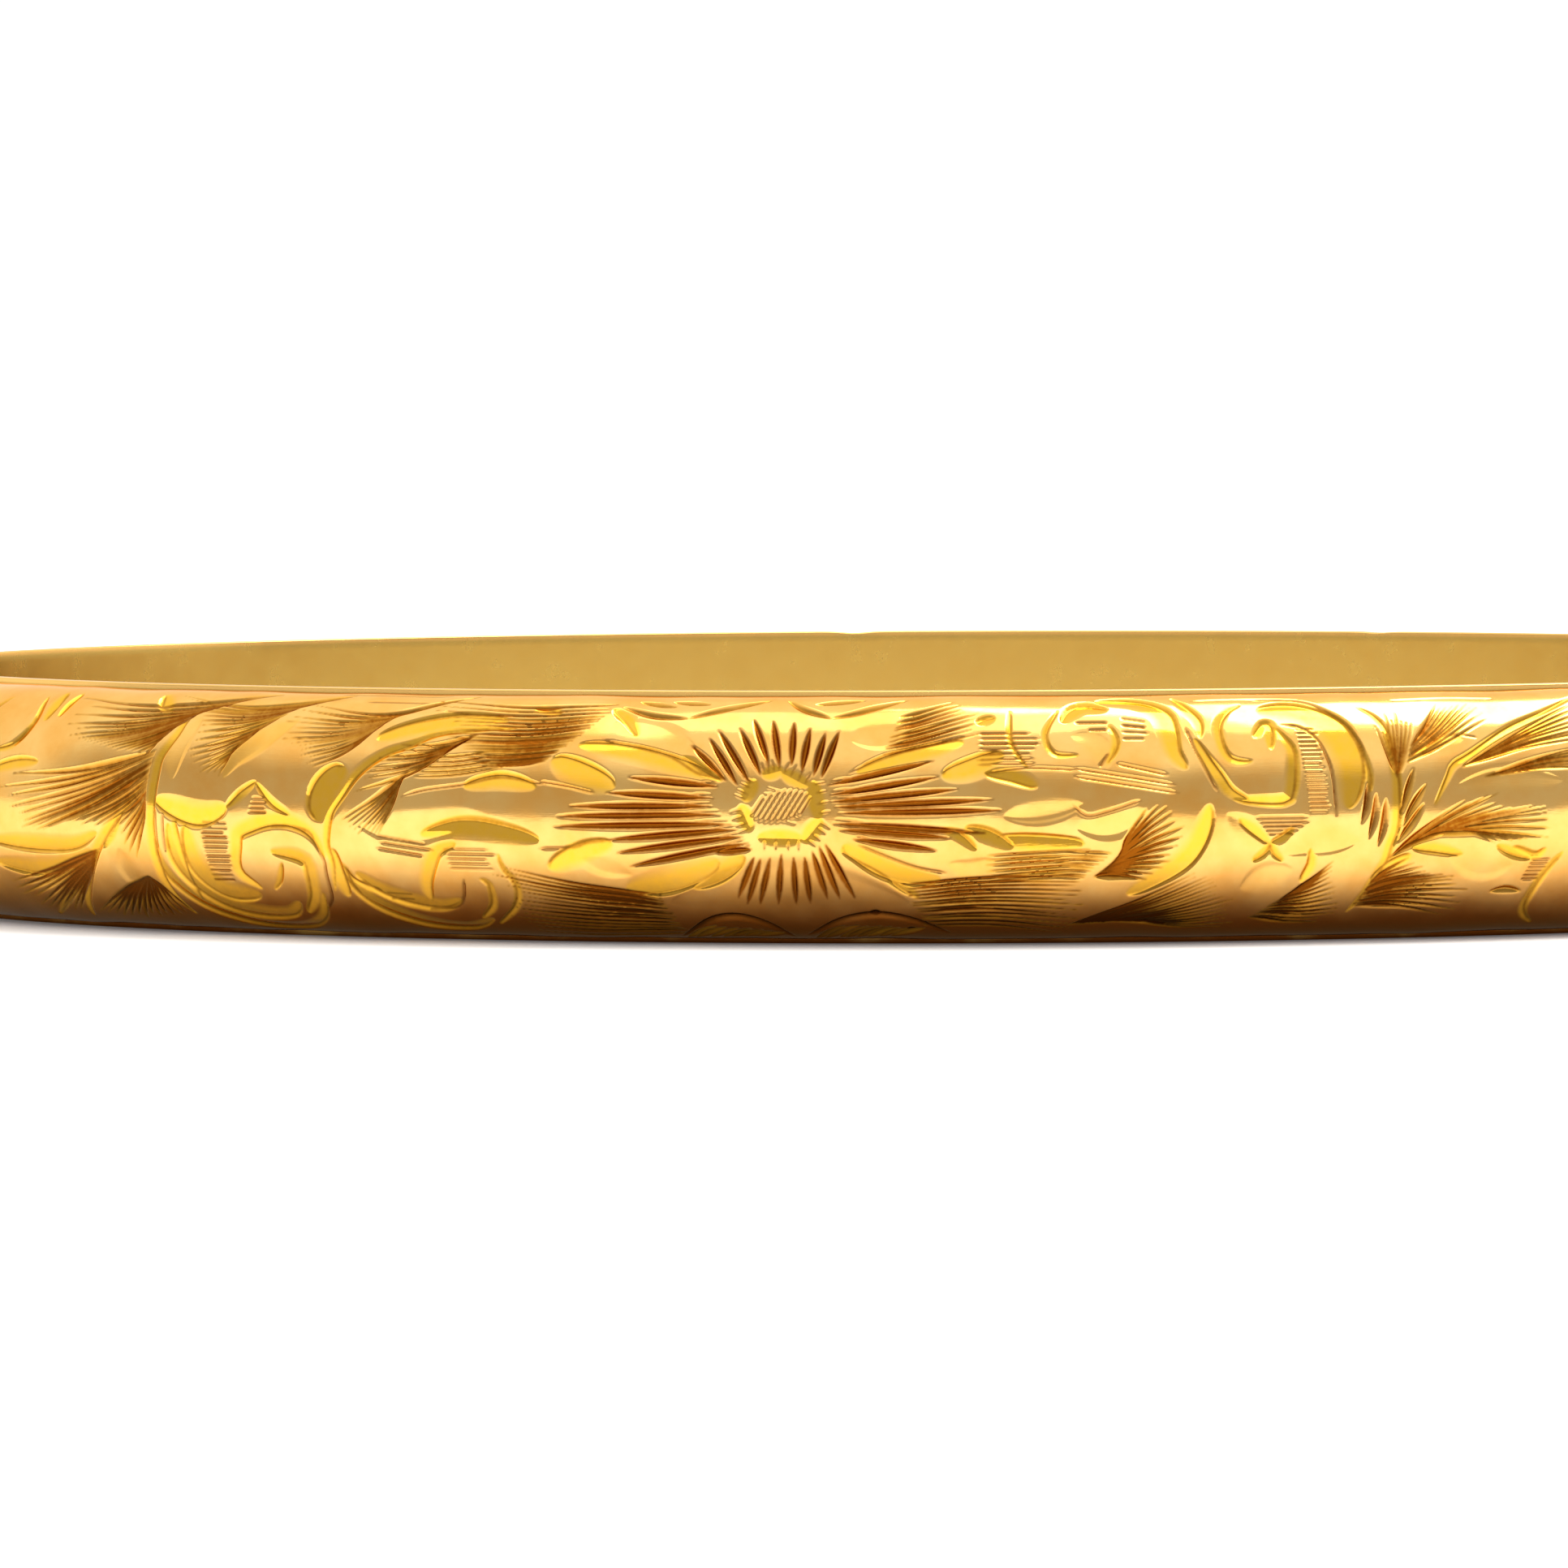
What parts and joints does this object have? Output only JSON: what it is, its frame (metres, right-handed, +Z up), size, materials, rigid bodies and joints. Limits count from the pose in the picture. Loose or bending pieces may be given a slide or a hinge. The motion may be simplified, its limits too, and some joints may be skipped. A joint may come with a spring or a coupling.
{
  "type": "hinged bangle bracelet",
  "caption": "Oval hinged bangle bracelet: hollow half-round band with an engraved front, flat lining, barrel hinge and spring tongue clasp.",
  "frame": {"origin": "centre of the bounding box, on the plane of the lower rim that the bangle lies on", "axes": "+Z up through the wrist opening, +X from the hinge to the clasp, -Y towards the engraved front"},
  "size_m": [0.0634, 0.0556, 0.0063],
  "materials": {
    "engraved_gold": "polished gold with hand-engraved cuts",
    "polished_gold": "polished gold, lightly worn",
    "joint_gold": "satin gold",
    "spring_gold": "hard-rolled satin gold"
  },
  "bodies": {
    "front_half": {"front_shell": "engraved_gold", "front_liner": "polished_gold", "front_hinge_plate": "joint_gold", "front_hinge_bearer": "joint_gold", "front_clasp_plate": "polished_gold", "catch_box": "joint_gold", "front_knuckle_bottom": "joint_gold", "front_knuckle_middle": "joint_gold", "front_knuckle_top": "joint_gold", "hinge_pin": "joint_gold"},
    "back_half": {"back_shell": "polished_gold", "back_liner": "polished_gold", "back_hinge_plate": "joint_gold", "back_hinge_bearer": "joint_gold", "back_clasp_plate": "polished_gold", "back_knuckle_lower": "joint_gold", "back_knuckle_upper": "joint_gold", "tongue_base": "spring_gold"},
    "thumb_spring": {"spring_leaf": "spring_gold", "thumb_push": "polished_gold"}
  },
  "joints": [
    {"name": "bangle_hinge", "type": "hinge", "parent": "front_half", "child": "back_half", "pos_m": [-0.03088, 0, 0.00317], "axis": [0, 0, 1], "range_deg": [0, 70]},
    {"name": "thumb_press", "type": "hinge", "parent": "back_half", "child": "thumb_spring", "pos_m": [0.02929, -0.00426, 0.00317], "axis": [0, 0, 1], "range_deg": [0, 4.5], "stiffness_Nm_per_rad": 0.1}
  ]
}
